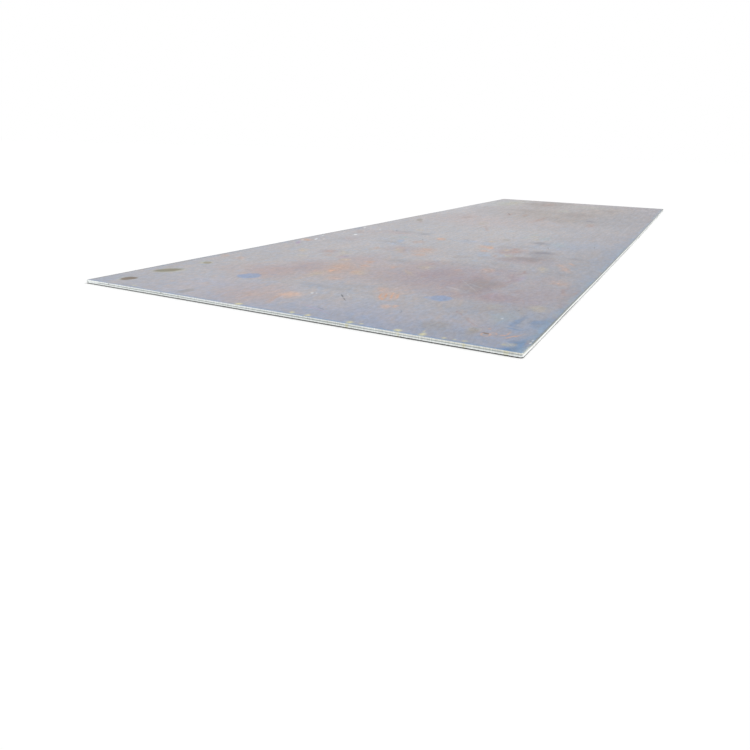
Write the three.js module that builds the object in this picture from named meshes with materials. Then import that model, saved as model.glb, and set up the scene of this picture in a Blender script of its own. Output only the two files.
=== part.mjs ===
// Hot-rolled steel plate, sheared to size, lying flat. Millimetres, +Z up.
// Length runs along Y and width along X. The origin is on the floor, under the plate's middle.
import * as THREE from 'three';

// The plate
const plateLength = 6000;
const plateWidth = 1800;
const plateThickness = 16;
const camber = 8; // how far both long edges bow to the right at mid-length, seen from above

// Long edges, trimmed by a side shear that works along the plate in strokes
const sideRollover = 3; // radius that the blade drags into the top edge
const sideLand = 12.4; // depth of the foot of the bright sheared land, from the top face
const sideHollow = 0.35; // how far the torn band is scooped out
const sideLean = 0.8; // how far the foot stands back under the land
const sideFoot = 1.4; // height of the band under the tear
const sideBreak = 0.4; // small break along the bottom edge
const strokeLength = 1300; // travel of one shear stroke, counted from the front end
const strokeNip = 0.4; // depth of the nip where two strokes meet
const strokeNipLength = 60;

// Short ends, cut across by a guillotine with little clearance, so that the foot is sheared bright again
const endRollover = 0.9;
const endLand = 4.4;
const endHollow = 0.5;
const endLean = 0.3;
const endFoot = 8;
const endBreak = 0.3;

// The front right corner is knocked blunt
const cornerBlunt = 8; // radius in plan

// The foot of each land wanders up and down along the cut
const landWander = 1.1;
const landWanderLength = 740;
const landDriftLength = 4600;

// Edge waves, left by rolling. The middle strip and both ends stay flat
const rightWave = 2; // height of the waves along the right edge
const leftWave = 1.3;
const waveLength = 1480; // crest to crest
const leftWaveShift = 410; // how far the left edge's crests lie ahead of the right edge's
const waveReach = 470; // how far in from a long edge the waves are felt
const waveFade = 820; // length over which they die out at each end

// Fineness of the mesh
const roundSteps = 3; // segments in a rounded edge
const tearSteps = 4; // segments down a torn band
const reachSteps = 6; // strips across each waved zone
const flatSteps = 6; // strips across the flat middle
const stationPitch = 120; // greatest spacing of the cross-sections

const steel = new THREE.MeshStandardMaterial({ color: 0xa3a3ab, roughness: 0.55, metalness: 0.75 });

// A sheared edge in section: x is how far it stands out, from the plate's full size, and y is height.
// It runs from the top face over the rollover, down the land, through the tear and down the foot.
function edgeSection(rollover, land, hollow, lean, foot, breakSize) {
  const bend = plateThickness - rollover;
  const landFoot = plateThickness - land;
  const scoop = -(lean / 2 + 2 * hollow);
  const section = new THREE.Path();
  section.moveTo(-rollover, plateThickness);
  section.absarc(-rollover, bend, rollover, Math.PI / 2, 0, true);
  section.lineTo(0, landFoot);
  section.quadraticCurveTo(scoop, (landFoot + foot) / 2, -lean, foot);
  section.lineTo(-lean, breakSize);
  section.lineTo(-lean - breakSize, 0);

  const stepsOf = (curve) => {
    if (curve.isEllipseCurve) return roundSteps;
    return curve.isQuadraticBezierCurve ? tearSteps : 1;
  };
  return section.curves.flatMap((curve, index) => curve.getPoints(stepsOf(curve)).slice(index ? 1 : 0));
}

const sideSection = edgeSection(sideRollover, sideLand, sideHollow, sideLean, sideFoot, sideBreak);
const endSection = edgeSection(endRollover, endLand, endHollow, endLean, endFoot, endBreak);
const topRing = 0;
const landRing = roundSteps + 1;
const bottomRing = sideSection.length - 1;

const turns = (along, length) => (2 * Math.PI * along) / length;
const smooth = (share) => THREE.MathUtils.smoothstep(share, 0, 1);
const crest = (along) => (1 - Math.cos(turns(along, waveLength))) / 2;

// How far the waves lift the plate off the floor at a place in plan
function lift(x, y) {
  const outward = smooth((Math.abs(x) - plateWidth / 2 + waveReach) / waveReach);
  const fade = smooth((plateLength / 2 - Math.abs(y)) / waveFade);
  const wave = x > 0 ? rightWave * crest(y) : leftWave * crest(y + leftWaveShift);
  return outward * fade * wave;
}

// How far the camber carries the plate aside at a place along it: to the left at both ends, to the
// right at mid-length, so that the whole stays centred
const bow = (y) => camber * (0.5 - ((2 * y) / plateLength) ** 2);

// How far the foot of a land strays from its usual height, at a place along the cut
function wander(along) {
  return landWander * Math.sin(turns(along, landWanderLength)) * Math.cos(turns(along, landDriftLength));
}

// Places where one shear stroke ends and the next begins
function strokeEnds() {
  const count = Math.ceil(plateLength / strokeLength) - 1;
  return Array.from({ length: count }, (_, index) => (index + 1) * strokeLength - plateLength / 2);
}

// How far the long edges are nipped in at a station along the plate
function nip(y) {
  const nearest = Math.min(...strokeEnds().map((end) => Math.abs(y - end)));
  return strokeNip * Math.max(0, 1 - nearest / (strokeNipLength / 2));
}

// A run of evenly spaced places from one end of a span to the other
function spread(from, to, steps) {
  return Array.from({ length: steps + 1 }, (_, step) => from + ((to - from) * step) / steps);
}

// Stations along the plate: evenly spaced between the ends, the blunt corner and the nips
function stations() {
  const reach = plateLength / 2;
  const half = strokeNipLength / 2;
  const nips = strokeEnds().flatMap((end) => [end - half, end, end + half]);
  const inner = nips.filter((place) => place > cornerBlunt - reach && place < reach);
  const fixed = [-reach, cornerBlunt - reach, ...inner, reach];
  return fixed.flatMap((place, index) => {
    if (index === 0) return [place];
    const steps = Math.ceil((place - fixed[index - 1]) / stationPitch);
    return spread(fixed[index - 1], place, steps).slice(1);
  });
}

// Lines along the plate: the flat middle, a waved zone on either side, and where the blunt corner starts
function columns() {
  const edge = plateWidth / 2;
  const flatHalf = edge - waveReach;
  return [
    ...spread(-edge, -flatHalf, reachSteps),
    ...spread(-flatHalf, flatHalf, flatSteps).slice(1),
    ...spread(flatHalf, edge, reachSteps).slice(1, -1),
    edge - cornerBlunt,
    edge,
  ];
}

// The plate: a net of columns and stations on each face, joined by the rings of the edge sections
function plateGeometry() {
  const xs = columns();
  const ys = stations();
  const lastColumn = xs.length - 1;
  const lastStation = ys.length - 1;

  // -1 at the first of a run, 1 at the last and 0 between them
  const rim = (index, last) => (index === last ? 1 : 0) - (index === 0 ? 1 : 0);

  function place(column, station, ring) {
    const side = rim(column, lastColumn);
    const end = rim(station, lastStation);
    const section = side === 0 ? endSection : sideSection;
    const knock = side > 0 && end < 0 ? cornerBlunt * (1 - Math.SQRT1_2) : 0;
    const x = xs[column] + bow(ys[station]) + side * (sideSection[ring].x - nip(ys[station])) - knock;
    const y = ys[station] + end * endSection[ring].x + knock;
    const stray = ring === landRing ? wander(side === 0 ? xs[column] : ys[station]) : 0;
    return [x, y, section[ring].y + stray + lift(xs[column], ys[station])];
  }

  const positions = [];
  const indices = [];
  const addPoint = (column, station, ring) => {
    positions.push(...place(column, station, ring));
    return positions.length / 3 - 1;
  };
  // A four-cornered facet, its corners anticlockwise seen from outside
  const addFacet = (a, b, c, d) => indices.push(a, b, c, a, c, d);

  // Both faces are full nets, and the rings between them have only the outline's points
  const faceNet = (ring) => ys.map((_, station) => xs.map((__, column) => addPoint(column, station, ring)));
  const top = faceNet(topRing);
  const bottom = faceNet(bottomRing);
  for (let station = 0; station < lastStation; station += 1) {
    const next = station + 1;
    for (let column = 0; column < lastColumn; column += 1) {
      const right = column + 1;
      addFacet(top[station][column], top[station][right], top[next][right], top[next][column]);
      addFacet(bottom[next][column], bottom[next][right], bottom[station][right], bottom[station][column]);
    }
  }

  // The outline's points in plan, anticlockwise seen from above
  const columnRun = xs.slice(0, -1).map((_, column) => column);
  const stationRun = ys.slice(0, -1).map((_, station) => station);
  const outline = [
    ...columnRun.map((column) => [column, 0]),
    ...stationRun.map((station) => [lastColumn, station]),
    ...columnRun.map((column) => [lastColumn - column, lastStation]),
    ...stationRun.map((station) => [0, lastStation - station]),
  ];
  const rings = sideSection.map((_, ring) => outline.map(([column, station]) => {
    if (ring === topRing) return top[station][column];
    if (ring === bottomRing) return bottom[station][column];
    return addPoint(column, station, ring);
  }));
  for (let ring = topRing; ring < bottomRing; ring += 1) {
    const upper = rings[ring];
    const lower = rings[ring + 1];
    outline.forEach((_, index) => {
      const next = (index + 1) % outline.length;
      addFacet(lower[index], lower[next], upper[next], upper[index]);
    });
  }

  const geometry = new THREE.BufferGeometry();
  geometry.setAttribute('position', new THREE.Float32BufferAttribute(positions, 3));
  geometry.setIndex(indices);
  geometry.computeVertexNormals();
  return geometry;
}

const plate = new THREE.Mesh(plateGeometry(), steel);
plate.name = 'plate';

const group = new THREE.Group();
group.add(plate);

export default group;
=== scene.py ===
import math

import bmesh
import bpy
from mathutils import Matrix, Vector, noise
from mathutils.bvhtree import BVHTree


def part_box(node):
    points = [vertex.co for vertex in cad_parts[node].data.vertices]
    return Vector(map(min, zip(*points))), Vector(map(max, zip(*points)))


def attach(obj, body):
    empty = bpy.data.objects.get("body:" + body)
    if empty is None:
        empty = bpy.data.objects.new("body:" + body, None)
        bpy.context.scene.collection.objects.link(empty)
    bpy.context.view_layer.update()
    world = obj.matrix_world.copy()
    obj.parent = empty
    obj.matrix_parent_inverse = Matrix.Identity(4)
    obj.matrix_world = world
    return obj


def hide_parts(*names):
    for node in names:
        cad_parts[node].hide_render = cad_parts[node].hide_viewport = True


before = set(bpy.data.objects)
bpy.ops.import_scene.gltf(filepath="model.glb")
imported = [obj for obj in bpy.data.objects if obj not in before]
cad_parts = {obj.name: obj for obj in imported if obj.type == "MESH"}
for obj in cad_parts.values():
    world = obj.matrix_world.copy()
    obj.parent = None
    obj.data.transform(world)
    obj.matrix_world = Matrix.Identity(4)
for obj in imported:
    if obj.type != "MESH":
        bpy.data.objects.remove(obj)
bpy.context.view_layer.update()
mm = 0.001
touch = 1e-6  # closer than this counts as touching
white = (1, 1, 1, 1)
strayDetail = 3.0  # how fine the noise is that frays lines and outlines

viewpoint = {
    "place": (1.274, -4.691, 0.554),
    "turn": 26.66,  # degrees to the left of straight along the plate
    "tilt": 20.16,  # degrees below level
    "roll": 1.79,
    "lens": 29.68,
    "sensor": 36,
    "farthest": 200,  # how far the camera sees
}


def makeCamera(setting):
    data = bpy.data.cameras.new("camera")
    data.lens = setting["lens"]
    data.sensor_width = setting["sensor"]
    data.clip_end = setting["farthest"]
    camera = bpy.data.objects.new("camera", data)
    aim = (Matrix.Rotation(math.radians(setting["turn"]), 4, "Z")
           @ Matrix.Rotation(math.radians(90 - setting["tilt"]), 4, "X")
           @ Matrix.Rotation(math.radians(setting["roll"]), 4, "Z"))
    camera.matrix_world = Matrix.Translation(setting["place"]) @ aim
    bpy.context.scene.collection.objects.link(camera)
    bpy.context.scene.camera = camera


class Level:
    # the output of a node, with the sums that the materials use
    def __init__(self, sheet, output):
        self.sheet = sheet
        self.output = output

    def combine(self, operation, *values):
        return self.sheet.add("ShaderNodeMath", {"operation": operation}, values)

    def __add__(self, other):
        return self.combine("ADD", self, other)

    def __sub__(self, other):
        return self.combine("SUBTRACT", self, other)

    def __rsub__(self, other):
        return self.combine("SUBTRACT", other, self)

    def __mul__(self, other):
        return self.combine("MULTIPLY", self, other)

    __radd__ = __add__
    __rmul__ = __mul__

    def over(self, other):
        return self.combine("MAXIMUM", self, other)

    def size(self):
        return self.combine("ABSOLUTE", self)


class Sheet:
    # the node tree of one material, or of the world
    def __init__(self, owner):
        owner.use_nodes = True
        self.owner = owner
        self.tree = owner.node_tree
        self.tree.nodes.clear()

    def add(self, kind, settings=None, inputs=None, output=0):
        # a node with its settings, and then the values or links of its sockets
        node = self.tree.nodes.new(kind)
        for name, value in (settings or {}).items():
            setattr(node, name, value)
        pairs = inputs.items() if isinstance(inputs, dict) else enumerate(inputs or [])
        for key, value in pairs:
            if isinstance(value, Level):
                self.tree.links.new(value.output, node.inputs[key])
            else:
                node.inputs[key].default_value = value
        return Level(self, node.outputs[output])

    def vector(self, operation, *parts, output=0):
        return self.add("ShaderNodeVectorMath", {"operation": operation}, parts, output)

    def pick(self, coords, axis):
        # one number of the coordinates: 0 is x and 1 is y
        return self.add("ShaderNodeSeparateXYZ", {}, [coords], axis)

    def shaded(self, colour, shade):
        return self.add("ShaderNodeVectorMath", {"operation": "SCALE"}, {0: colour, "Scale": shade})

    def blend(self, amount, first, second, kind="MIX"):
        # colours sit at sockets 6 and 7 of a Mix node, and come out at 2
        settings = {"data_type": "RGBA", "blend_type": kind, "clamp_factor": True}
        return self.add("ShaderNodeMix", settings, {0: amount, 6: first, 7: second}, 2)

    def ease(self, value, start, end, low=0.0, high=1.0):
        # a smooth step keeps between low and high by itself; a clamp here would overfill a large material
        settings = {"interpolation_type": "SMOOTHSTEP", "clamp": False}
        return self.add("ShaderNodeMapRange", settings, [value, start, end, low, high])

    def spread(self, value, start, end, low=0.0, high=1.0):
        return self.add("ShaderNodeMapRange", {"clamp": True}, [value, start, end, low, high])

    def lay(self, colour, layer, value):
        # covers a colour with a layer's tone, by where the value lies in the layer's span
        mask = self.ease(value, *layer["span"], 0, layer["weight"])
        return self.blend(mask, colour, layer["tone"])

    def place(self, coords, at=(0, 0, 0), turn=0.0, size=(1, 1, 1)):
        settings = {"vector_type": "TEXTURE"}
        return self.add("ShaderNodeMapping", settings, [coords, at, (0, 0, math.radians(turn)), size])

    def clouds(self, coords, scale, detail=4.0, rough=0.55, swirl=0.0, output=0, **placing):
        # noise, which at, turn and size shift, turn and stretch
        if placing:
            coords = self.place(coords, **placing)
        shape = {"Scale": scale, "Detail": detail, "Roughness": rough, "Distortion": swirl}
        return self.add("ShaderNodeTexNoise", {}, {"Vector": coords, **shape}, output)

    def fray(self, coords, scale, reach):
        # a distance that wanders to either side of nothing, for ragged lines
        return (self.clouds(coords, scale, strayDetail) - 0.5) * reach

    def stray(self, coords, scale, reach):
        # coordinates that wander off by up to about half the reach, for ragged outlines
        colour = self.clouds(coords, scale, strayDetail, output=1)
        drift = self.vector("MULTIPLY_ADD", colour, (reach, reach, 0), (-reach / 2, -reach / 2, 0))
        return self.vector("ADD", coords, drift)

    def bump(self, height, depth, normal=None):
        inputs = {"Height": height, "Strength": 1.0, "Distance": depth}
        if normal is not None:
            inputs["Normal"] = normal
        return self.add("ShaderNodeBump", {}, inputs)

    def finish(self, surface, kind="ShaderNodeOutputMaterial"):
        node = self.tree.nodes.new(kind)
        self.tree.links.new(surface.output, node.inputs["Surface"])
        return self.owner


def tone(code):
    # a colour as it shows on a screen, such as "a9abb5", turned into light
    def light(channel):
        return channel / 12.92 if channel <= 0.04045 else ((channel + 0.055) / 1.055) ** 2.4
    return tuple(light(int(code[i:i + 2], 16) / 255) for i in (0, 2, 4)) + (1.0,)


def toObject(net, name, materials):
    mesh = bpy.data.meshes.new(name)
    net.to_mesh(mesh)
    net.free()
    for material in materials:
        mesh.materials.append(material)
    made = bpy.data.objects.new(name, mesh)
    bpy.context.scene.collection.objects.link(made)
    return made


studio = {
    "floorSize": 160,
    "floorTone": 0.86,
    "floorLift": 0.16,  # brings the lit floor up to the white of the backdrop, where it is seen
    "skyFill": 0.66,  # the dome's soft light on the plate
    "backdrop": 1.0,  # what the camera and the reflections see
    "sunPower": 1.45,
    "sunSpread": 20,  # degrees across, for soft shadows
    "sunTurn": 112,  # degrees from the front end round to the right
    "sunHeight": 46,
}


def seenByEye(sheet):
    # 1 for the camera and for what it sees in a polished or clear surface
    path = "ShaderNodeLightPath"
    seen = sheet.add(path, output="Is Camera Ray").over(sheet.add(path, output="Is Glossy Ray"))
    return seen.over(sheet.add(path, output="Is Transmission Ray"))


def makeFloor(setting):
    sheet = Sheet(bpy.data.materials.new("paleFloor"))
    grey = (setting["floorTone"],) * 3 + (1.0,)
    matt = sheet.add("ShaderNodeBsdfDiffuse", {}, {"Color": grey})
    glow = sheet.add("ShaderNodeEmission", {}, [white, seenByEye(sheet) * setting["floorLift"]])
    sheet.finish(sheet.add("ShaderNodeAddShader", {}, [matt, glow]))
    net = bmesh.new()
    bmesh.ops.create_grid(net, x_segments=1, y_segments=1, size=setting["floorSize"] / 2)
    toObject(net, "floor", [sheet.owner])


def makeSky(setting):
    world = bpy.data.worlds.new("studioSky")
    bpy.context.scene.world = world
    sheet = Sheet(world)
    power = sheet.spread(seenByEye(sheet), 0, 1, setting["skyFill"], setting["backdrop"])
    dome = sheet.add("ShaderNodeBackground", {}, {"Color": white, "Strength": power})
    sheet.finish(dome, "ShaderNodeOutputWorld")


def makeSun(setting):
    data = bpy.data.lights.new("softSun", "SUN")
    data.energy = setting["sunPower"]
    data.angle = math.radians(setting["sunSpread"])
    sun = bpy.data.objects.new("softSun", data)
    turn, height = math.radians(setting["sunTurn"]), math.radians(setting["sunHeight"])
    level = math.cos(height)
    towards = Vector((math.sin(turn) * level, -math.cos(turn) * level, math.sin(height)))
    sun.rotation_euler = towards.to_track_quat("Z", "Y").to_euler()
    bpy.context.scene.collection.objects.link(sun)


# Lengths are in mm, unless a note says otherwise
plateShape = {
    "netSteps": (20, 96),  # strips across and along
    "levels": (0.4, 1.4, 2.5, 3.6, 5.8, 8, 9.2, 10.4, 11.6, 13, 14.2, 15.1, 15.7),  # above the underside
    "endLines": (48, 24, 12, 6, 3),  # in from an end; the net doubles at each
    "sideLines": (48, 24, 12),
    "endRim": (0.9, 0.3),  # in from an end, down the rollover
    "sideRim": (5, 3, 1.5, 0.4),
    "cutSlack": 1e-7,  # m from a cut at which a point counts as on it
    "straightness": 0.9,  # share of its length that an edge has to run along an axis, to be split
    "edgeCast": 2,  # m off, from where the frame's long edges are looked for
    "faceCast": 1,  # m off, from where its faces are looked for
    "rimZone": 3.2,  # in from the outline, laid on the frame's rounded edges
    "faceMargin": 6,  # in from the outline where the underside's height is read
    "cornerZone": 9,  # from a corner, where the cut faces stay smooth
    "footCast": 10,  # outside the outline, from where the foot of the land is looked for
    "footHeadroom": 1,  # below the rollover, where the search starts
    "footStep": 0.1,  # from one height of the search to the next
    "footStart": 0.03,  # how far the frame's edge has to stand in to be the foot
    "tearDepth": 0.28,  # roughness of the torn bands
    "tearGrain": 6.5,
    "tearSeed": 11,  # a seed shifts the noise
    "scoreDepth": 0.14,  # scores of the blade, down the whole cut face
    "scorePitch": 4.2,
    "scoreLag": 2.4,  # how far a score leans over from top to bottom
    "scoreDraw": 0.12,  # how fast the scores change down the face, against along it
    "scoreSeed": 3,
    "fadeIn": (6, 8),  # it sets in over a 6th of the thickness from below, and an 8th from above
    "faceTilt": 0.8,  # the least share of up or down in the way a face of mill scale looks
    "sideTilt": 0.5,  # and of left or right in the way a long edge looks
    "sharpAngle": 38,
}

# The sheared bands: the axis across the face, how drawn out the roughness is, and heights in mm of the top
# of the foot, the usual foot of the land, and the rollover
sideBands = {"axis": 0, "stretch": 2.0, "foot": 1.4, "landFoot": 3.6, "rollover": 13}
endBands = {"axis": 1, "stretch": 1.0, "foot": 8, "landFoot": 11.6, "rollover": 15.1}


def bow(share, camber):
    # how far the camber carries the plate aside; share is 0 at mid-length and 1 at an end
    return (0.5 - share * share) * camber


def edgeAt(bvh, y, side, height):
    # how far out the frame's long edge stands at a place along it; side is 1 for the right edge
    start = Vector((plateShape["edgeCast"] * side, y, height))
    return bvh.ray_cast(start, Vector((-side, 0, 0)))[0].x


def faceAt(bvh, x, y, side):
    # height of the frame's plate over a place in plan; side is 1 for the top face, -1 for the underside
    start = Vector((x, y, plateShape["faceCast"] * side))
    return bvh.ray_cast(start, Vector((0, 0, -side)))[0].z


def cutLines(net, axis, places):
    # cuts the net straight across an axis, at every place on it
    slack = plateShape["cutSlack"]
    for place in places:
        at, across = Vector(), Vector()
        at[axis] = place
        across[axis] = 1
        geometry = net.verts[:] + net.edges[:] + net.faces[:]
        bmesh.ops.bisect_plane(net, geom=geometry, dist=slack, plane_co=at, plane_no=across)


def splitEdges(net, axis, keep, cuts=1):
    # splits the edges that run along an axis and pass the test
    chosen = []
    for edge in net.edges:
        first, second = edge.verts[0].co, edge.verts[1].co
        run = second - first
        straight = abs(run[axis]) > plateShape["straightness"] * run.length
        if straight and keep(first) and keep(second):
            chosen.append(edge)
    bmesh.ops.subdivide_edges(net, edges=chosen, cuts=cuts, use_grid_fill=True)


def makeNet(half, thickness):
    # a box of the plate's size, cut into strips that get finer towards its outline
    shape = plateShape
    net = bmesh.new()
    bmesh.ops.create_cube(net, size=1)
    bmesh.ops.scale(net, vec=(2 * half.x, 2 * half.y, thickness), verts=net.verts)
    bmesh.ops.translate(net, vec=(0, 0, thickness / 2), verts=net.verts)
    for axis, steps in enumerate(shape["netSteps"]):
        splitEdges(net, axis, lambda place: True, steps - 1)
    cutLines(net, 2, [level * mm for level in shape["levels"]])
    for inward in shape["endLines"]:
        line = half.y - inward * mm
        cutLines(net, 1, [-line, line])
        splitEdges(net, 0, lambda place: abs(place.y) > line - touch)
    for inward in shape["sideLines"]:
        line = half.x - inward * mm
        cutLines(net, 0, [-line, line])
        splitEdges(net, 1, lambda place: abs(place.x) > line - touch)
    for axis, rim in enumerate(("sideRim", "endRim")):
        lines = [half[axis] - inward * mm for inward in shape[rim]]
        cutLines(net, axis, lines + [-line for line in lines])
    return net


def within(value, reach):
    # the value, kept within a reach on either side of nothing
    return max(-reach, min(reach, value))


def grain(place, pitch, seed):
    # a ragged depth, from none to about 1, whose grain has the pitch in mm
    return abs(noise.noise(place / (pitch * mm) + Vector((seed, seed * 2, seed * 3))))


def landFoot(bands, bvh, place):
    # height in mm at which the frame's edge starts to stand in, at a place on the outline
    shape = plateShape
    axis = bands["axis"]
    inward = Vector()
    inward[axis] = -math.copysign(1, place[axis])
    outside = place - inward * (shape["footCast"] * mm)

    def standIn(height):
        outside.z = place.z + height * mm
        return bvh.ray_cast(outside, inward)[3] / mm

    height = bands["rollover"] - shape["footHeadroom"]
    flush = standIn(height) + shape["footStart"]
    while height > bands["foot"] and standIn(height) < flush:
        height -= shape["footStep"]
    return height + shape["footStep"]


def nearLandFoot(bands, height):
    # 1 at the usual foot of the land, fading out down to the foot band and up to the rollover
    below = (height - bands["foot"]) / (bands["landFoot"] - bands["foot"])
    above = (bands["rollover"] - height) / (bands["rollover"] - bands["landFoot"])
    return max(0.0, min(below, above))


def cutRoughness(bands, place, thickness):
    # mm that the blade's scores and the tear take off a cut face, at a place on the flat net
    shape = plateShape
    share = place.z / thickness
    slid = place.copy()
    slid[1 - bands["axis"]] += shape["scoreLag"] * mm * (1 - share) ** 2
    slid.z *= shape["scoreDraw"]
    depth = grain(slid, shape["scorePitch"] * bands["stretch"], shape["scoreSeed"]) * shape["scoreDepth"]
    if bands["foot"] < place.z / mm < bands["landFoot"]:
        depth += grain(place, shape["tearGrain"] * bands["stretch"], shape["tearSeed"]) * shape["tearDepth"]
    fromBelow, fromAbove = shape["fadeIn"]
    return depth * max(0.0, min(1.0, fromBelow * share, fromAbove * (1 - share)))


def shapePlate(net, bvh, half, camber, thickness):
    # lays the net on the frame's plate, then roughens the sheared faces
    shape = plateShape
    depthLayer = net.verts.layers.float.new("depth")  # mm below the top face, with the lands made even
    margin = shape["faceMargin"] * mm
    feet = {}
    for vert in net.verts:
        flat = vert.co.copy()
        x, y, z = flat
        vert[depthLayer] = (thickness - z) / mm
        aside = bow(y / half.y, camber)
        raised = faceAt(bvh, within(x, half.x - margin) + aside, within(y, half.y - margin), -1)
        vert.co += Vector((aside, 0, raised))

        onSide, onEnd = half.x - abs(x), half.y - abs(y)
        nearer, farther = sorted((onSide, onEnd))
        if nearer > shape["rimZone"] * mm:
            continue
        bands = endBands if onEnd < onSide else sideBands
        onCut = nearer < touch and farther > shape["cornerZone"] * mm
        if onCut:
            station = (round(x, 5), round(y, 5))
            if station not in feet:
                feet[station] = landFoot(bands, bvh, Vector((x + aside, y, raised)))
            vert.co.z += (feet[station] - bands["landFoot"]) * nearLandFoot(bands, z / mm) * mm
        vert.co = bvh.find_nearest(vert.co)[0]
        if nearer > touch:
            vert[depthLayer] = (thickness + raised - vert.co.z) / mm
        if onCut:
            out = vert.co[bands["axis"]]
            depth = cutRoughness(bands, flat, thickness) * mm
            vert.co[bands["axis"]] = out - math.copysign(depth, out)


def finishOf(normal):
    # slot of a face's material: the top face, the underside, a long edge or an end
    if abs(normal.z) > plateShape["faceTilt"]:
        return 0 if normal.z > 0 else 1
    return 2 if abs(normal.x) > plateShape["sideTilt"] else 3


def makePlate():
    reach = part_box("plate")[1].y
    bvh = BVHTree.FromObject(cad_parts["plate"], bpy.context.evaluated_depsgraph_get())
    thickness = faceAt(bvh, 0, 0, 1) - faceAt(bvh, 0, 0, -1)
    right, left = (edgeAt(bvh, 0, side, thickness / 2) for side in (1, -1))
    half = Vector(((right - left) / 2, reach))
    camber = right + left
    net = makeNet(half, thickness)
    shapePlate(net, bvh, half, camber, thickness)
    net.normal_update()
    for face in net.faces:
        face.smooth = True
        face.material_index = finishOf(face.normal)
    print("plate shaped:", len(net.verts), "points")

    materials = [millScale("topScale", True, half, camber), millScale("underScale", False, half, camber),
                 shearedSteel("sideShear", sideLook, half, thickness),
                 shearedSteel("endShear", endLook, half, thickness)]
    plate = toObject(net, "steelPlate", materials)
    plate.data.set_sharp_from_angle(angle=math.radians(plateShape["sharpAngle"]))
    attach(plate, "root")
    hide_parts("plate")
    triangles = sum(len(face.vertices) - 2 for face in plate.data.polygons)
    print("plate dressed:", len(plate.data.polygons), "faces,", triangles, "triangles")


# A noise has about its scale of grains to the metre, and size draws them out across and along.
# A layer covers what lies under it from the start of its span, and has its full weight at the end.
scaleLook = {
    # the scale's own drift of colour, drawn out along the rolling direction
    "drift": {"scale": 2.4, "detail": 6, "rough": 0.66, "size": (1, 2.2, 1)},
    "warmth": {"scale": 3.4, "detail": 6, "rough": 0.66, "size": (1, 2.0, 1), "at": (3.1, 1.7, 0)},
    "slate": tone("a5a5ab"),
    "plain": {"tone": tone("aeabaf"), "span": (0.34, 0.66), "weight": 1.0},
    "dove": {"tone": tone("aba5a6"), "span": (0.46, 0.7), "weight": 0.45},

    # painted shade makes the right side darker; the front end is bluer and the far half darker and warmer;
    # spans in m
    "right": {"tone": tone("96959d"), "span": (-0.1, 1.0), "weight": 0.85, "stray": 0.4},
    "front": {"tone": tone("999cad"), "span": (-2.5, -3.05), "stray": 0.5,
              "across": (-0.9, 0.4), "weights": (0.15, 0.9)},  # stronger towards the right
    "far": {"tint": (0.945, 0.92, 0.908, 1), "span": (-0.6, 1.2)},

    # painted reflection: a bluer line along the front end, as its rollover would mirror a blue sky, and a
    # bluer line along the right edge; spans in m from the edge
    "lineFray": (25, 0.02),  # scale of the noise, and its reach in m
    "frontReflection": {"tone": tone("6c8fb6"), "span": (0.02, 0.006), "weights": (0.35, 0.85)},  # left, right
    "rightLine": {"tone": tone("869cae"), "span": (0.04, 0.006), "weight": 0.6, "broken": (0.3, 0.6)},

    # painted shade on the rims, where the outline rolls over; the right one starts a little way from the
    # front corner
    "rim": {"tone": tone("767b7c"), "weight": 0.75, "core": 0.3, "fray": (60, 0.006)},
    "rims": {"right": 7, "left": 18, "far": 40},  # mm wide
    "rightRimStart": (0.04, 0.15),  # m from the front end

    # what breaks up the marks
    "patches": {"scale": 8, "detail": 6, "rough": 0.72, "swirl": 0.8, "size": (1, 2.2, 1)},
    "patchStrength": (0.25, 0.66, 0.7, 1.2),  # from and to, and the weights there
    "fleck": {"scale": 60, "detail": 5, "rough": 0.75, "size": (1, 2.0, 1)},
    "fleckStrength": (0.32, 0.68, 0.35, 1.5),

    # fine cloudiness of the whole face, in tint and in lightness
    "tint": {"scale": 26, "detail": 6, "rough": 0.8, "swirl": 1.0, "size": (1, 2.2, 1),
             "at": (5.3, 2.9, 0)},
    "tintSpan": (0.34, 0.66),
    "warmTint": (1.11, 0.995, 0.88, 1),
    "coolTint": (0.89, 1.0, 1.12, 1),
    "grain": {"scale": 75, "detail": 5, "rough": 0.8, "size": (1, 2.2, 1)},
    "grainWeights": (1.1, 1.4),  # at the front end and from a quarter of the way along

    # streaks of the rolling, fine rub marks and wisps
    "streaks": {"scale": 1, "detail": 5, "rough": 0.8, "size": (0.022, 0.3, 1)},
    "streakWeights": (0.02, 1.7),  # at the front and at the far end
    "hairs": ((36, 0.25), (12, 0.4), (-28, 0.16)),  # turn in degrees, and length in m
    "hairWidth": 0.005,
    "hairNoise": {"scale": 1, "detail": 3, "rough": 0.6},
    "hairSpan": (0.58, 0.76),
    "hairWeight": 0.14,
    "wisps": {"scale": 7, "detail": 4, "rough": 0.6, "swirl": 1.2, "size": (0.4, 1, 1), "turn": 34},
    "wispWidth": 0.035,  # in the value of their noise
    "wispWeight": 0.07,
    "rubSpan": (0.35, 0.6),  # in the patches, for where hairs and wisps show

    "roughness": (0.44, 0.56),
    "roughnessSpan": (0.3, 0.7),  # in the grain
    "rustRoughness": 0.3,  # added on rust
    "metallic": 0.25,
    "grainDepth": 0.4,  # mm of relief, as is the grit's
    "grit": {"scale": 210, "detail": 3, "rough": 0.6},
    "gritDepth": 0.12,
}

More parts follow.
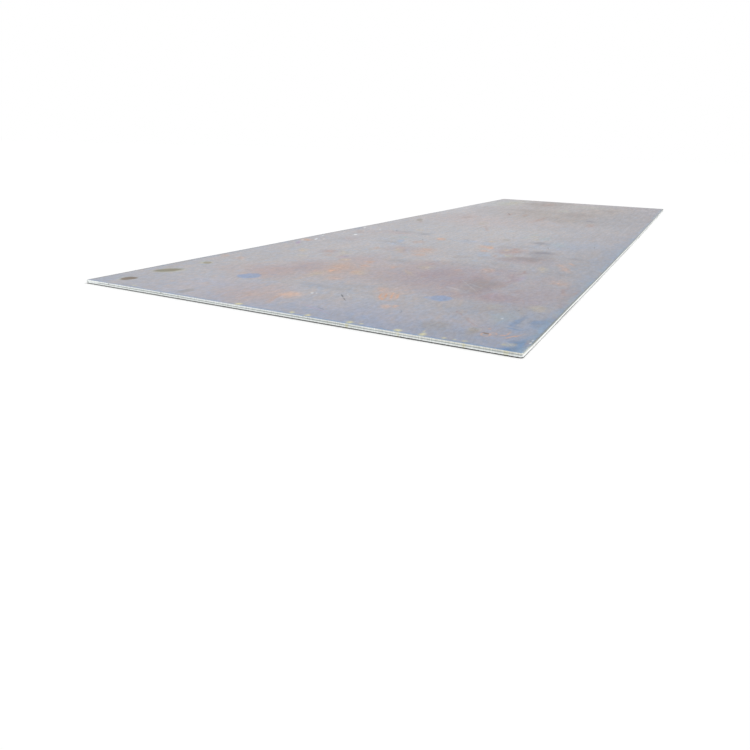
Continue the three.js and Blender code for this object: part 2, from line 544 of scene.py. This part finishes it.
# Marks on the top face. Each place is x, y, half width, half length (mm), turn (degrees) and weight.
# Soft is how far the rim of a mark reaches in from its outline, in radii, and it reaches half as far out.
# A ring has its half width instead. Where marks of one kind overlap, the strongest one shows.
zoneMarks = {
    "plainMiddle": {"tone": tone("a9a8ac"), "soft": 1.0, "places": (
        (-350, -350, 420, 520, 0, 0.6), (200, -250, 340, 380, 0, 0.6), (-350, -950, 360, 300, 0, 0.5),
        (650, 450, 230, 330, 0, 0.35), (-30, -1600, 90, 90, 0, 0.5))},
    # painted shade: darker patches over the right half, as the right side is
    "rightShade": {"tone": tone("8c8d96"), "soft": 1.0, "places": (
        (810, -1250, 170, 620, 0, 0.45), (640, -2500, 170, 150, 0, 0.45), (520, -320, 190, 200, 0, 0.25),
        (800, -1620, 120, 150, 0, 0.25), (600, -750, 140, 160, 0, 0.25), (690, -2930, 230, 80, 0, 0.35))},
    "farPink": {"tone": tone("aca2a4"), "soft": 1.0, "places": (
        (-280, 330, 400, 420, 0, 0.7), (60, 620, 240, 380, 0, 0.7), (-560, 620, 160, 300, 10, 0.6))},
    "farTaupe": {"tone": tone("9c9593"), "soft": 0.9, "places": (
        (-60, 1450, 430, 900, 10, 0.9), (-260, 2500, 330, 620, 0, 0.9), (350, 1900, 340, 1000, 0, 0.8),
        (330, 1000, 260, 460, 0, 0.8), (-60, 2150, 200, 380, 0, 0.45))},
    "farBrown": {"tone": tone("8f8787"), "soft": 0.9, "places": (
        (220, 1020, 170, 280, 0, 0.45), (240, 1470, 180, 330, 10, 0.9), (-350, 2450, 110, 380, 10, 0.5),
        (-170, 2500, 90, 420, 8, 0.4), (430, 2120, 60, 160, 8, 1.0), (-230, 1480, 120, 300, 10, 0.5))},
    "farGrey": {"tone": tone("939298"), "soft": 0.9, "places": (
        (680, 1350, 260, 800, 0, 0.8), (480, 1080, 140, 350, 0, 0.85))},
    "farOlive": {"tone": tone("a6aaa1"), "soft": 0.9, "places": (
        (-680, 2450, 170, 520, 0, 0.6), (60, 1850, 90, 160, 8, 0.4), (160, 2450, 260, 200, 0, 0.3))},
    "farPale": {"tone": tone("b3b4ba"), "soft": 1.0, "places": (
        (-880, 1600, 180, 1200, 0, 0.75),)},
    "mauve": {"tone": tone("a8a4ae"), "soft": 1.0, "places": (
        (-400, -2750, 260, 190, 0, 0.6), (-180, -2880, 130, 120, 0, 0.4))},
}
cloudMarks = {
    "pinkStain": {"tone": tone("a69799"), "soft": 0.9, "places": (
        (-400, -2390, 190, 190, -40, 1.0), (-280, -2230, 230, 250, 0, 0.85), (-60, -2180, 210, 300, 0, 0.7),
        (-190, -1900, 170, 220, 20, 0.7), (-200, -2800, 150, 180, 0, 0.6), (-600, -2480, 120, 110, 0, 0.35),
        (-690, -890, 130, 150, 0, 0.25), (-560, -790, 110, 90, 0, 0.7), (-640, -1240, 45, 130, 10, 0.5),
        (-90, -1560, 150, 180, 0, 0.25), (50, -1900, 100, 150, 0, 0.5), (-190, -1780, 60, 90, 0, 0.45))},
    "orangeGlow": {"tone": tone("b5a096"), "soft": 1.0, "places": (
        (-215, -2110, 100, 150, 20, 0.7), (-160, -2310, 110, 170, 0, 0.5), (-180, -2790, 100, 160, 10, 0.3),
        (340, -1100, 60, 130, 0, 0.5), (-80, -1420, 60, 160, 10, 0.4), (230, -2500, 70, 120, 20, 0.4))},
    "brownStain": {"tone": tone("968890"), "soft": 0.9, "places": (
        (305, -2080, 305, 360, 0, 0.95), (480, -1810, 110, 150, 0, 0.6), (190, -1830, 190, 140, 0, 0.6),
        (470, -2370, 230, 110, 0, 0.6), (640, -2345, 190, 130, 0, 0.85), (545, -2200, 60, 240, 0, 0.85),
        (562, -1910, 38, 220, 0, 0.9), (640, -2400, 80, 90, 0, 0.5), (735, -2230, 170, 260, 0, 0.5),
        (740, -2840, 100, 90, 0, 0.2), (700, -1900, 90, 160, 0, 0.35), (-330, -2230, 80, 130, 0, 0.4),
        (480, -1400, 190, 130, 0, 0.6), (330, -1130, 90, 160, 0, 0.5), (-220, -1430, 110, 120, 0, 0.45),
        (-500, -1770, 80, 80, 0, 0.4))},
    "darkCloud": {"tone": tone("847a7b"), "soft": 0.85, "places": (
        (495, -2150, 100, 150, 0, 0.65), (520, -2230, 75, 120, 0, 0.45), (500, -1330, 125, 85, 0, 0.75),
        (400, -1390, 80, 70, 0, 0.4), (545, -1260, 80, 45, 0, 0.5), (864, -2110, 42, 210, 0, 0.4))},
    "greyBruise": {"tone": tone("7f7d86"), "soft": 0.85, "places": (
        (500, -1085, 85, 95, 0, 0.85), (525, -1190, 60, 60, 0, 0.55), (408, -680, 58, 75, 0, 0.75),
        (260, -980, 36, 80, 0, 0.35), (-375, -735, 50, 60, 0, 0.45), (-500, -715, 90, 40, 0, 0.3),
        (-35, -825, 40, 50, 0, 0.2), (154, -1508, 46, 46, 0, 0.35), (-395, -1250, 90, 40, 0, 0.35),
        (-300, -1285, 40, 40, 0, 0.35), (710, -1180, 70, 50, 0, 0.4), (440, 1000, 50, 90, 0, 0.85),
        (60, -2480, 90, 55, 0, 0.2), (-40, -1790, 70, 80, 0, 0.35), (340, -1715, 420, 40, 0, 0.2),
        (50, -2560, 300, 35, 0, 0.2), (730, -1705, 90, 60, 0, 0.3), (-340, -1870, 40, 50, 0, 0.3),
        (255, -1430, 50, 45, 0, 0.3), (410, -1610, 80, 80, 0, 0.2), (350, -900, 80, 60, 0, 0.3))},
    "blueSheen": {"tone": tone("7f8fa6"), "soft": 0.9, "places": (
        (820, -2690, 120, 280, 0, 0.5), (875, -2695, 50, 350, 0, 0.6), (700, -2930, 260, 100, 0, 0.35),
        (300, -2940, 420, 70, 0, 0.3), (870, -1750, 45, 520, 0, 0.4), (870, -855, 60, 1015, 0, 0.4),
        (-895, -1990, 35, 1105, 0, 0.35), (-845, -2920, 110, 130, 0, 0.3), (-765, -2695, 155, 305, 0, 0.15),
        (-890, -760, 30, 120, 0, 0.5), (-60, -2560, 110, 90, 0, 0.25))},
    "paleBlue": {"tone": tone("8ea1bb"), "soft": 0.9, "places": (
        (570, -720, 150, 240, 0, 0.35), (240, -1360, 34, 100, 10, 0.55), (0, -880, 70, 90, 0, 0.4),
        (150, -900, 50, 70, 0, 0.45), (-365, -1165, 30, 80, 24, 0.75), (-350, -1310, 80, 50, 0, 0.35),
        (410, -830, 60, 60, 0, 0.4), (690, -560, 120, 200, 0, 0.3), (-480, -1130, 90, 90, 0, 0.2))},
    "tealSheen": {"tone": tone("8fa6aa"), "soft": 0.9, "places": (
        (735, -2620, 50, 110, 0, 0.25), (380, -430, 40, 110, 0, 0.35), (265, -440, 35, 90, 0, 0.3),
        (520, -680, 50, 130, 0, 0.3), (-400, -985, 30, 60, 0, 0.55), (290, -250, 40, 60, 0, 0.3))},
    "deepBlue": {"tone": tone("5b7da4"), "soft": 0.8, "places": (
        (880, -2920, 50, 110, 0, 0.87), (800, -2645, 13, 100, 2, 0.55), (872, -2622, 26, 60, 0, 0.6),
        (890, -2580, 24, 130, 0, 0.6), (893, -2420, 16, 120, 0, 0.4), (788, -2757, 20, 12, 0, 0.55),
        (880, -2760, 30, 120, 0, 0.4), (880, -2795, 22, 60, 0, 0.5), (866, -2985, 34, 24, 0, 1.0))},
}
rustMarks = {
    "orangeRust": {"tone": tone("c5a795"), "soft": 1.0, "places": (
        (-198, -2240, 34, 44, 20, 0.9), (-205, -2110, 60, 80, 20, 0.4), (-232, -2125, 24, 50, 20, 0.5),
        (-132, -2040, 24, 34, 20, 0.7), (-160, -1930, 26, 44, 20, 0.7), (-92, -2390, 36, 44, 0, 0.45),
        (0, -2000, 20, 44, 20, 0.6), (-85, -2840, 12, 90, 10, 0.6), (250, -2560, 40, 60, 20, 0.3),
        (352, -2698, 12, 20, 20, 0.7), (780, -1918, 44, 66, 0, 0.5), (-70, -2210, 34, 50, 20, 0.5),
        (-300, -1950, 32, 44, 20, 0.4), (-630, -1825, 26, 56, 30, 0.3), (-500, -1745, 40, 40, 0, 0.3),
        (-850, -2210, 24, 56, 30, 0.45), (-742, -2220, 24, 50, 30, 0.45), (-180, -905, 36, 60, 20, 0.9),
        (150, -1055, 30, 66, 14, 0.9), (192, -1060, 26, 70, 20, 1.0), (202, -1205, 26, 50, 20, 0.7),
        (122, -800, 24, 56, 20, 0.5), (690, -1434, 34, 50, 20, 0.35), (725, -1365, 12, 50, 20, 0.6),
        (725, -1545, 26, 70, 20, 0.7), (-45, -1570, 34, 40, 0, 0.6), (-80, -1380, 50, 100, 10, 0.5),
        (-350, -1486, 20, 44, 20, 0.6), (-830, -1480, 34, 56, 30, 0.8), (285, -1868, 24, 34, 0, 0.4),
        (405, -1790, 36, 66, 10, 0.5), (-250, -1100, 40, 60, 30, 0.45), (185, -2470, 36, 50, 20, 0.45),
        (-240, -1400, 40, 60, 10, 0.4))},
    "redRust": {"tone": tone("ac8e82"), "soft": 0.9, "places": (
        (-504, -1775, 48, 46, 0, 0.3), (-446, -1870, 32, 46, 0, 0.35), (-175, -1500, 24, 70, 20, 0.3),
        (572, -1745, 10, 70, 4, 0.55), (340, -1030, 24, 60, 10, 0.4), (365, -1140, 44, 90, 0, 0.38),
        (320, -1200, 34, 50, 0, 0.3), (310, -1340, 12, 40, 0, 0.4), (500, 620, 40, 160, 8, 0.4),
        (830, -2065, 20, 90, 6, 0.32), (665, -2190, 26, 50, 0, 0.2), (-770, -925, 22, 70, 24, 0.3),
        (-265, -1130, 20, 40, 20, 0.4), (-175, -2145, 80, 160, 0, 0.2), (-155, 1120, 30, 180, 8, 0.35),
        (-290, 1065, 25, 150, 8, 0.45), (50, 790, 30, 240, 0, 0.4), (-515, 570, 70, 180, 0, 0.3),
        (-255, 2490, 70, 255, 0, 0.35), (-120, -150, 16, 170, 20, 0.35), (-690, -70, 18, 80, 20, 0.35),
        (876, -2345, 18, 60, 0, 0.35), (878, -2070, 10, 60, 0, 0.35), (886, -2890, 8, 60, 0, 0.5),
        (585, -2670, 4, 70, 44, 0.4), (640, -2735, 4, 60, 42, 0.35), (680, -2780, 4, 50, 38, 0.4),
        (110, -1790, 40, 60, 0, 0.3))},
    "ochreBloom": {"tone": tone("c2b89e"), "soft": 0.9, "places": (
        (-630, -1820, 28, 60, 30, 0.4), (-540, -1975, 34, 38, 0, 0.35), (130, -1900, 40, 60, 0, 0.4),
        (118, -2075, 18, 80, 40, 0.35), (-300, -1940, 30, 30, 0, 0.5), (-62, -2210, 40, 56, 20, 0.35),
        (-410, -1750, 34, 70, 40, 0.4), (-215, -1480, 30, 65, 20, 0.35), (630, -1600, 26, 80, 14, 0.4),
        (365, -1290, 26, 46, 20, 0.55), (300, -1095, 26, 40, 0, 0.5), (-450, -1060, 20, 40, 20, 0.35),
        (124, -790, 22, 40, 20, 0.5), (-215, -2340, 30, 65, 0, 0.4), (805, -2436, 40, 54, 0, 0.4),
        (-255, 200, 45, 130, 0, 0.3), (-625, 2370, 60, 235, 0, 0.25), (340, -520, 30, 60, 0, 0.3),
        (837, -2939, 30, 22, 0, 0.6), (692, -2836, 20, 30, 0, 0.4), (656, -2495, 30, 40, 0, 0.3),
        (285, -380, 26, 60, 0, 0.3), (-490, -550, 24, 60, 20, 0.3))},
}
fineRustMarks = {
    "rustRing": {"tone": tone("c9a083"), "ring": 0.4, "places": (
        (256, -2570, 30, 62, 20, 0.35), (742, -2872, 15, 16, 0, 0.6), (761, -2853, 11, 13, 0, 0.6))},
    "rustStroke": {"tone": tone("c99b7b"), "soft": 0.8, "places": (
        (226, -2578, 6, 46, 20, 0.8), (243, -2565, 6, 48, 20, 0.8), (264, -2553, 6, 56, 20, 0.9),
        (287, -2548, 6, 56, 20, 0.8), (252, -2622, 9, 18, 20, 0.9), (792, -2850, 11, 6, 24, 0.8),
        (802, -2822, 4, 24, -6, 0.6), (822, -2850, 5, 42, -31, 0.8), (735, -2803, 6, 9, 0, 0.5))},
    "peachRust": {"tone": tone("cfad98"), "soft": 0.9, "places": (
        (-72, -2752, 50, 50, 0, 0.7), (-58, -2735, 20, 18, 0, 0.5), (320, -2722, 20, 36, 20, 0.7),
        (345, -2700, 8, 26, 20, 0.4), (-198, -2246, 16, 24, 20, 0.6), (193, -1058, 18, 50, 20, 0.35),
        (688, -1440, 24, 40, 20, 0.1), (-185, -895, 26, 40, 20, 0.6))},
}
spotMarks = {
    "tintedDrop": {"tone": tone("7c93b8"), "soft": 0.22, "places": (
        (-424, -2556, 52, 60, 0, 0.75), (440, -2482, 46, 52, 0, 0.72), (402, -2496, 28, 24, 0, 0.5))},
    "smudge": {"tone": tone("8f8c8b"), "soft": 0.5, "places": (
        (570, -2855, 52, 62, 0, 0.56), (-436, -2930, 24, 46, 0, 0.7), (695, -2855, 20, 56, 0, 0.6),
        (540, -2840, 10, 40, 0, 0.5), (606, -2880, 12, 30, 0, 0.5))},
    "violetTrace": {"tone": tone("a691ab"), "soft": 0.8, "places": (
        (-815, -1595, 14, 64, 25, 0.9), (130, -2890, 6, 90, 66, 0.5), (-345, -1880, 30, 34, 0, 0.5),
        (602, -1900, 20, 90, 4, 0.35), (592, -2300, 24, 90, 4, 0.15), (775, -2355, 30, 40, 0, 0.1))},
    "oilHalo": {"tone": tone("b4b494"), "soft": 0.6, "places": (
        (-792, -2890, 38, 44, -20, 0.5), (-782, -2665, 48, 76, -32, 0.5), (-786, -2424, 34, 38, 40, 0.5))},
    "oilDrop": {"tone": tone("6e6547"), "soft": 0.3, "places": (
        (-790, -2665, 36, 66, -32, 0.78), (-780, -2422, 22, 32, 40, 0.55), (-750, 60, 26, 90, 20, 0.45),
        (176, -660, 22, 40, 0, 0.35))},
    "brownDrop": {"tone": tone("6a594a"), "soft": 0.3, "places": (
        (-788, -2888, 30, 38, -10, 0.95), (737, -2857, 13, 8, -8, 0.8))},
}
brightMarks = {
    "chip": {"tone": tone("d8d9db"), "soft": 0.35, "places": (
        (-718, -1070, 12, 32, 22, 1.0), (-808, -1412, 8, 46, 24, 0.7), (-856, -1252, 7, 34, 24, 0.6),
        (-850, -700, 8, 60, 24, 0.6), (-718, -712, 8, 44, 20, 0.45), (-18, -2686, 7, 13, 30, 0.8),
        (-2, -2677, 4, 8, 30, 0.6), (733, -2650, 4, 12, 0, 0.4), (-768, -1386, 5, 30, 24, 0.45),
        (889, -2884, 4, 11, 0, 1.0), (889, -2856, 4, 9, 0, 0.9), (421, -2284, 12, 46, 60, 0.14),
        (453, -2190, 4, 138, 34, 0.12), (478, -2178, 4, 70, 50, 0.12), (-848, -1500, 8, 30, 24, 0.5),
        (118, -2640, 2, 40, 34, 0.35))},
    "gouge": {"tone": tone("4a4e56"), "soft": 0.5, "places": (
        (104, -2662, 4, 30, 38, 0.8), (137, -2704, 3, 27, 38, 0.65), (752, -2508, 4, 5, 0, 0.8),
        (494, -866, 4, 60, 14, 0.35), (728, -650, 4, 50, 6, 0.45), (394, -2750, 3, 16, 30, 0.4),
        (-310, 1130, 8, 120, 22, 0.45), (-270, 1190, 7, 90, 14, 0.3), (-595, -700, 6, 50, 24, 0.4),
        (-270, -1000, 4, 40, 24, 0.4), (140, -2874, 3, 26, 64, 0.4), (401, -2767, 6, 14, 30, 0.25))},
    "paintDab": {"tone": tone("d2ce9c"), "soft": 0.8, "places": (
        (-138, -2983, 14, 16, 0, 0.85), (87, -2978, 11, 16, 20, 0.7), (153, -2981, 12, 15, 0, 0.7),
        (315, -2980, 13, 17, 0, 0.8), (357, -2974, 10, 9, 0, 0.5), (491, -2980, 14, 17, 0, 0.8),
        (574, -2978, 12, 20, 0, 0.75), (566, -2945, 5, 14, 0, 0.4), (647, -2978, 9, 11, 0, 0.5),
        (678, -2976, 7, 8, 0, 0.45), (-668, -2970, 16, 9, 0, 0.4), (711, -2975, 8, 9, 0, 0.45),
        (826, -2948, 9, 8, 0, 0.4))},
    "palePatch": {"tone": tone("c3c6b4"), "soft": 0.6, "places": (
        (893, -2950, 4, 44, 0, 0.6),)},
}

# The groups in the order in which they are laid: how finely their outlines stray, how far in mm, and what
# breaks up their marks
markGroups = (
    {"marks": zoneMarks, "scale": 1.6, "reach": 420, "brokenBy": None},
    {"marks": cloudMarks, "scale": 4.5, "reach": 170, "brokenBy": "patches"},
    {"marks": rustMarks, "scale": 24, "reach": 46, "brokenBy": "fleck"},
    {"marks": fineRustMarks, "scale": 30, "reach": 22, "brokenBy": "fleck"},
    {"marks": spotMarks, "scale": 30, "reach": 22, "brokenBy": None},
    {"marks": brightMarks, "scale": 45, "reach": 14, "brokenBy": None},
)


def turned(sheet, coords, turn):
    # the coordinates in a frame that is turned about the origin
    cosine, sine = math.cos(math.radians(turn)), math.sin(math.radians(turn))
    across = sheet.vector("DOT_PRODUCT", coords, (cosine, sine, 0), output=1)
    along = sheet.vector("DOT_PRODUCT", coords, (-sine, cosine, 0), output=1)
    return sheet.add("ShaderNodeCombineXYZ", {}, [across, along])


def gather(sheet, coords, kind):
    # one mask for all the marks of a kind; marks of one turn share a turned frame
    frames = {0: coords}
    mask = None
    for x, y, across, along, turn, weight in kind["places"]:
        if turn not in frames:
            frames[turn] = turned(sheet, coords, turn)
        centre = Matrix.Rotation(math.radians(-turn), 2) @ Vector((x * mm, y * mm))
        squeeze = (1 / (across * mm), 1 / (along * mm), 0)
        shift = (-centre.x * squeeze[0], -centre.y * squeeze[1], 0)
        local = sheet.vector("MULTIPLY_ADD", frames[turn], squeeze, shift)
        reach = sheet.vector("LENGTH", local, output=1)
        if "ring" in kind:
            spot = sheet.ease((reach - 1).size(), kind["ring"], 0, 0, weight)
        else:
            spot = sheet.ease(reach, 1 + kind["soft"] / 2, 1 - kind["soft"], 0, weight)
        mask = spot if mask is None else mask.over(spot)
    return mask


def layMarks(sheet, coords, colour, patches):
    # lays every mark on the colour, and also gives the mask of the larger rust
    look = scaleLook
    strengths = {
        "patches": sheet.ease(patches, *look["patchStrength"]),
        "fleck": sheet.spread(sheet.clouds(coords, **look["fleck"]), *look["fleckStrength"]),
    }
    rust = None
    for group in markGroups:
        loose = sheet.stray(coords, group["scale"], group["reach"] * mm)
        for kind in group["marks"].values():
            mask = gather(sheet, loose, kind)
            if group["brokenBy"]:
                mask = mask * strengths[group["brokenBy"]]
            if group["marks"] is rustMarks:
                rust = mask if rust is None else rust.over(mask)
            colour = sheet.blend(mask, colour, kind["tone"])
    return colour, rust


def layPlainScale(sheet, coords, x, y):
    # the drift of the unmarked scale, and painted shade on its right side
    look = scaleLook
    drift = sheet.clouds(coords, **look["drift"])
    warmth = sheet.clouds(coords, **look["warmth"])
    colour = sheet.lay(look["slate"], look["plain"], drift)
    colour = sheet.lay(colour, look["dove"], warmth)
    right, front, far = look["right"], look["front"], look["far"]
    # painted shade, darker towards the right side
    colour = sheet.lay(colour, right, x + (warmth - 0.5) * right["stray"])
    frontward = sheet.ease(y + (drift - 0.5) * front["stray"], *front["span"])
    weight = sheet.spread(x, *front["across"], *front["weights"])
    colour = sheet.blend(frontward * weight, colour, front["tone"])
    return sheet.blend(sheet.ease(y, *far["span"]), colour, far["tint"], "MULTIPLY")


def layRims(sheet, coords, colour, y, half, across):
    # paints shade along the outline, where it rolls over, but not along the front end
    look = scaleLook
    frayed = sheet.fray(coords, *look["rim"]["fray"])
    for side, away in (("right", half.x - across), ("left", half.x + across), ("far", half.y - y)):
        width = look["rims"][side] * mm
        rim = sheet.ease(away + frayed, width, width * look["rim"]["core"], 0, look["rim"]["weight"])
        if side == "right":
            rim = rim * sheet.ease(y, *(start - half.y for start in look["rightRimStart"]))
        colour = sheet.blend(rim, colour, look["rim"]["tone"])
    return colour


def rubShade(sheet, coords):
    # fine straight hairs in a few directions, and curling wisps
    look = scaleLook
    hairs = None
    for turn, length in look["hairs"]:
        fine = sheet.clouds(coords, **look["hairNoise"], turn=turn, size=(look["hairWidth"], length, 1))
        fine = sheet.ease(fine, *look["hairSpan"], 0, look["hairWeight"])
        hairs = fine if hairs is None else hairs + fine
    swirl = sheet.clouds(coords, **look["wisps"])
    return hairs + sheet.ease((swirl - 0.5).size(), look["wispWidth"], 0, 0, look["wispWeight"])


def fineShade(sheet, coords, y, half, patches, grainNoise):
    # how much lighter or darker the streaks of the rolling, the rub marks and the grain make the face
    look = scaleLook
    streaks = sheet.clouds(coords, **look["streaks"]) - 0.5
    streaks = streaks * sheet.spread(y, -half.y, half.y, *look["streakWeights"])
    streaks = streaks + rubShade(sheet, coords) * sheet.ease(patches, *look["rubSpan"])
    depth = (grainNoise - 0.5) * sheet.spread(y, -half.y, -half.y / 2, *look["grainWeights"])
    return (streaks + 1) * (depth + 1)


def millScale(name, marked, half, camber):
    look = scaleLook
    sheet = Sheet(bpy.data.materials.new(name))
    coords = sheet.add("ShaderNodeTexCoord", output="Object")
    x, y = (sheet.pick(coords, axis) for axis in (0, 1))
    across = x - bow(y * (1 / half.y), camber)  # from the middle line, which follows the camber
    patches = sheet.clouds(coords, **look["patches"])
    ragged = sheet.fray(coords, *look["lineFray"])

    colour = layPlainScale(sheet, coords, x, y)

    # painted reflection: bluer along the front end, as its rollover would mirror a blue sky
    front = look["frontReflection"]
    line = sheet.ease(half.y + y + ragged, *front["span"])
    line = line * sheet.spread(x, -half.x, half.x, *front["weights"])
    colour = sheet.blend(line, colour, front["tone"])

    if marked:
        colour, rust = layMarks(sheet, coords, colour, patches)

    # bluer along the right edge, and painted shade along most of the outline
    right = look["rightLine"]
    line = sheet.ease(half.x - across + ragged, *right["span"], 0, right["weight"])
    line = line * sheet.ease(patches, *right["broken"])
    colour = sheet.blend(line, colour, right["tone"])
    colour = layRims(sheet, coords, colour, y, half, across)

    tintNoise = sheet.clouds(coords, **look["tint"])
    tint = sheet.blend(sheet.spread(tintNoise, *look["tintSpan"]), look["coolTint"], look["warmTint"])
    colour = sheet.blend(1.0, colour, tint, "MULTIPLY")
    grainNoise = sheet.clouds(coords, **look["grain"])
    colour = sheet.shaded(colour, fineShade(sheet, coords, y, half, patches, grainNoise))

    rough = sheet.spread(grainNoise, *look["roughnessSpan"], *look["roughness"])
    if marked:
        rough = rough + rust * look["rustRoughness"]
    normal = sheet.bump(sheet.clouds(coords, **look["grit"]), look["gritDepth"] * mm)
    normal = sheet.bump(grainNoise, look["grainDepth"] * mm, normal)
    shader = sheet.add("ShaderNodeBsdfPrincipled", {}, {
        "Base Color": colour,
        "Roughness": rough,
        "Metallic": look["metallic"],
        "Normal": normal,
    })
    return sheet.finish(shader)


# What the long edges and the ends have in common; lengths in mm
cutLook = {
    "scores": {"scale": 1, "detail": 4, "rough": 0.7},
    "scoreSpan": (0.25, 0.75),
    "scoreRelief": 0.2,
    "ragged": {"scale": 150, "detail": 4, "rough": 0.6},
    "bandFray": 1.5,  # how far the borders of the bands stray
    "bandBlur": 0.5,
    "rolloverBlur": 0.7,
    "tearRelief": 0.6,
    "roughness": (0.38, 0.7),  # of a land and of a torn band
    "landWeight": 0.9,  # how fully the land takes on its right tone
    "blotches": {"scale": 14, "detail": 5, "rough": 0.6},
    "blotch": {"tone": tone("b9b5a4"), "span": (0.5, 0.75), "weight": 0.2},
    "specks": {"scale": 85, "detail": 2, "rough": 0.5, "at": (0.7, 0.3, 0)},
    "speck": {"tone": tone("5c5c58"), "span": (0.68, 0.76), "weight": 0.7},
    "run": tone("d4cf96"),  # yellow paint
    "runFray": 12,  # how far its sides stray
    "runCore": 0.3,  # share of the half width
    "lipShadowRoughness": 1.0,
}
sideLook = {
    "bands": sideBands,
    "scoreSize": (1, 0.004, 0.05),  # m across, along and down
    "scoring": 0.16,
    "rollover": tone("727972"),
    "rolloverEnd": 3.8,  # mm below the top face
    "paleCorner": {"tone": tone("d0d2c6"), "span": (126, 54), "weight": 0.8},  # mm from the front end
    "lands": (tone("f6f8f6"), tone("f6f8f6")),  # up to the middle, and at the right
    # the torn band and the foot are painted nearly black, partly torn steel and partly painted shade along
    # the bottom edge
    "tear": tone("303032"),
    "foot": tone("303032"),
    "lipShadow": tone("161617"),
    "lipShadowHeights": (3.0, 3.0),  # mm of painted shadow along the bottom edge, at the left and at the right
    "lipShadowWeights": (1.0, 1.0),
    "metallic": (0.35, 0.35),  # at the left and from a third of the way across
    "runs": (),
}
endLook = {
    "bands": endBands,
    "scoreSize": (0.004, 1, 0.05),
    "scoring": 0.24,
    "rollover": tone("e2e8e8"),
    "rolloverEnd": 0.6,
    "paleCorner": None,
    "lands": (tone("f6faf9"), tone("e6e5da")),
    "tear": tone("bfc5c3"),
    "foot": tone("f3f7f6"),
    "lipShadow": tone("151211"),
    "lipShadowHeights": (4.0, 2.9),
    "lipShadowWeights": (0.75, 1.0),
    "metallic": (0.95, 0.5),
    "runs": ((316, 7, 0.45), (500, 5, 0.3), (717, 6, 0.4), (846, 12, 0.3)),  # x, half width and weight
}


def shearedSteel(name, look, half, thickness):
    common = cutLook
    sheet = Sheet(bpy.data.materials.new(name))
    coords = sheet.add("ShaderNodeTexCoord", output="Object")
    x = sheet.pick(coords, 0)
    depth = sheet.add("ShaderNodeAttribute", {"attribute_name": "depth"}, output="Fac")
    scores = sheet.clouds(coords, **common["scores"], size=look["scoreSize"])
    ragged = sheet.clouds(coords, **common["ragged"])
    frayed = depth + (ragged - 0.5) * common["bandFray"]
    tall = thickness / mm

    def below(level, blur=common["bandBlur"]):
        # all that lies deeper than a level in mm
        return sheet.ease(frayed - level, -blur, blur)

    rollover = look["rollover"]
    corner = look["paleCorner"]
    if corner:
        start, full = (reach * mm - half.y for reach in corner["span"])
        mask = sheet.ease(sheet.pick(coords, 1), start, full, 0, corner["weight"])
        rollover = sheet.blend(mask, rollover, corner["tone"])
    land = sheet.blend(sheet.ease(x, 0, half.x, 0, common["landWeight"]), *look["lands"])
    colour = sheet.blend(below(look["rolloverEnd"], common["rolloverBlur"]), rollover, land)
    torn = below(tall - look["bands"]["landFoot"])
    foot = below(tall - look["bands"]["foot"])
    colour = sheet.blend(torn, colour, look["tear"])
    colour = sheet.blend(foot, colour, look["foot"])
    colour = sheet.lay(colour, common["blotch"], sheet.clouds(coords, **common["blotches"]))
    colour = sheet.lay(colour, common["speck"], sheet.clouds(coords, **common["specks"]))
    for place, width, weight in look["runs"]:
        aside = (x - place * mm).size() + (ragged - 0.5) * (common["runFray"] * mm)
        run = sheet.ease(aside, width * mm, width * common["runCore"] * mm, 0, weight)
        colour = sheet.blend(run, colour, common["run"])
    shade = sheet.spread(scores, *common["scoreSpan"], 1 - look["scoring"], 1 + look["scoring"])
    colour = sheet.shaded(colour, shade)

    tornOnly = torn - foot
    normal = sheet.bump(scores, common["scoreRelief"] * mm)
    normal = sheet.bump(ragged * tornOnly, common["tearRelief"] * mm, normal)
    shader = sheet.add("ShaderNodeBsdfPrincipled", {}, {
        "Base Color": colour,
        "Roughness": sheet.spread(tornOnly, 0, 1, *common["roughness"]),
        "Metallic": sheet.spread(x, -half.x, -half.x / 3, *look["metallic"]),
        "Normal": normal,
    })
    # painted shadow: a dark lip along the bottom edge that gives back no gleam, even at a glance
    dull = sheet.add("ShaderNodeBsdfPrincipled", {}, {
        "Base Color": look["lipShadow"],
        "Roughness": common["lipShadowRoughness"],
        "Specular IOR Level": 0.0,
    })
    lipShadow = below(sheet.spread(x, -half.x, half.x, *(tall - height for height in look["lipShadowHeights"])))
    lipShadow = lipShadow * sheet.spread(x, -half.x, half.x, *look["lipShadowWeights"])
    return sheet.finish(sheet.add("ShaderNodeMixShader", {}, [lipShadow, shader, dull]))


makeCamera(viewpoint)
makeFloor(studio)
makeSky(studio)
makeSun(studio)
bpy.context.scene.view_settings.view_transform = "Standard"
print("studio ready")
makePlate()
